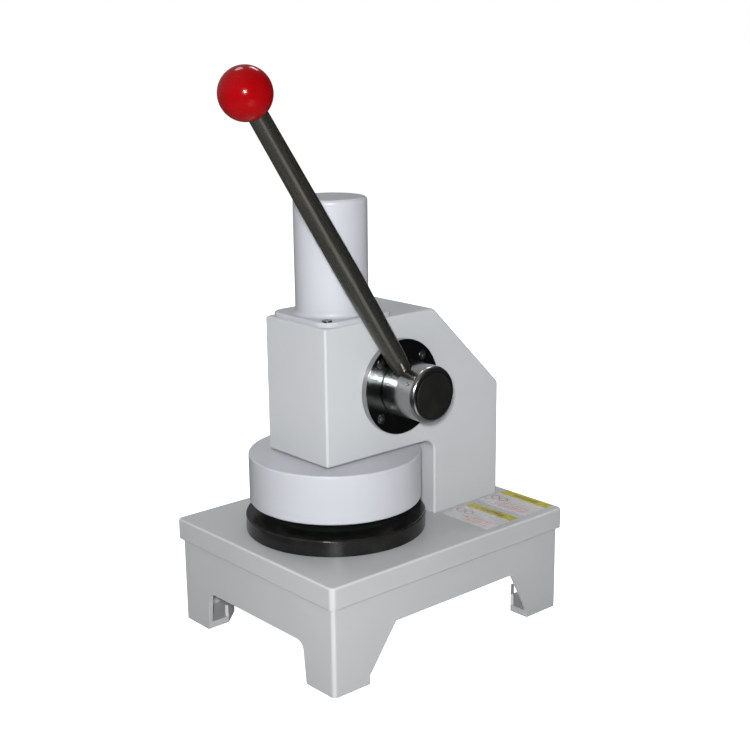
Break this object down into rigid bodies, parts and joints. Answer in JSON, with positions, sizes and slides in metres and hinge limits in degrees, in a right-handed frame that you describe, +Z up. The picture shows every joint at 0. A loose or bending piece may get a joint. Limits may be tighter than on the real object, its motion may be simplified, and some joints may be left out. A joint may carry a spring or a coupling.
{
  "type": "hand lever disc sample press",
  "caption": "Bench press with a ball-ended side lever: a rack and pinion drives a drum-shaped head holding a ring knife down onto a round anvil on a four-legged table.",
  "frame": {"origin": "on the floor, at the middle of the whole object's plan box", "axes": "+Z up, +X towards the lever's side, -Y towards the front where the sample goes in"},
  "size_m": [0.24, 0.356, 0.5446],
  "materials": {
    "casting_paint": "light warm grey enamel, semi-gloss, on the cast arm and column",
    "table_paint": "light grey enamel, semi-gloss, on the table",
    "head_paint": "cooler white enamel, gloss, on the head and the top cover",
    "black_anvil": "black oxide, polished and oiled, gloss",
    "turned_steel": "bright turned steel",
    "ground_steel": "ground and oiled steel",
    "tool_steel": "hardened tool steel, ground edge",
    "lever_steel": "gunmetal black-nickel on steel, satin",
    "fastener_steel": "black and zinc plated screws",
    "spring_steel": "oiled spring wire",
    "bronze": "cast bronze bearing metal",
    "brass": "turned brass",
    "black_plug": "black moulded plastic, satin",
    "red_knob": "red phenolic, high gloss",
    "mat": "dense cutting rubber, dark",
    "label_film": "printed vinyl film, plain bands of colour and no lettering"
  },
  "bodies": {
    "frame": {"table_top": "table_paint", "table_skirt": "table_paint", "leg_shoes": "table_paint", "corner_blocks": "table_paint", "table_screws": "fastener_steel", "body_casting": "casting_paint", "column_washers": "fastener_steel", "column_bolts": "fastener_steel", "lower_ram_bush": "bronze", "upper_ram_bush": "bronze", "spring_seat": "turned_steel", "return_spring": "spring_steel", "inner_shaft_bush": "bronze", "outer_shaft_bush": "bronze", "bearing_flange": "turned_steel", "flange_screws": "fastener_steel", "thrust_washer": "bronze", "anvil_disc": "black_anvil", "cutting_mat": "mat", "anvil_screws": "fastener_steel", "top_cover": "head_paint", "cover_screws": "fastener_steel", "rear_labels": "label_film"},
    "lever": {"pinion_shaft": "ground_steel", "hub": "turned_steel", "hub_key": "tool_steel", "hub_set_screw": "fastener_steel", "hub_washer": "fastener_steel", "hub_screw": "fastener_steel", "hub_end_plug": "black_plug", "lever_rod": "lever_steel", "ball_knob": "red_knob", "knob_insert": "brass"},
    "ram": {"ram": "ground_steel", "ram_spindle": "ground_steel", "spring_collar": "turned_steel", "lock_nuts": "fastener_steel", "press_head": "head_paint", "head_washer": "fastener_steel", "head_bolt": "fastener_steel", "knife_ring": "tool_steel", "knife_holder": "turned_steel", "knife_screws": "fastener_steel", "ejector_springs": "spring_steel"},
    "ejector": {"ejector_plate": "turned_steel", "ejector_pins": "ground_steel"}
  },
  "joints": [
    {"name": "lever_hinge", "type": "hinge", "parent": "frame", "child": "lever", "pos_m": [0, 0.026, 0.2453], "axis": [1, 0, 0], "range_deg": [0, 43.4]},
    {"name": "ram_slide", "type": "slide", "parent": "frame", "child": "ram", "axis": [0, 0, -1], "range_m": [0, 0.0125], "stiffness_N_per_m": 4000, "springref_m": -0.045, "deforming": ["return_spring"]},
    {"name": "ejector_slide", "type": "slide", "parent": "ram", "child": "ejector", "axis": [0, 0, 1], "range_m": [0, 0.006], "stiffness_N_per_m": 2500, "springref_m": -0.008, "deforming": ["ejector_springs"]}
  ],
  "couplings": [
    {"joint": "ram_slide", "follows": "lever_hinge", "m_per_rad": 0.0165}
  ]
}
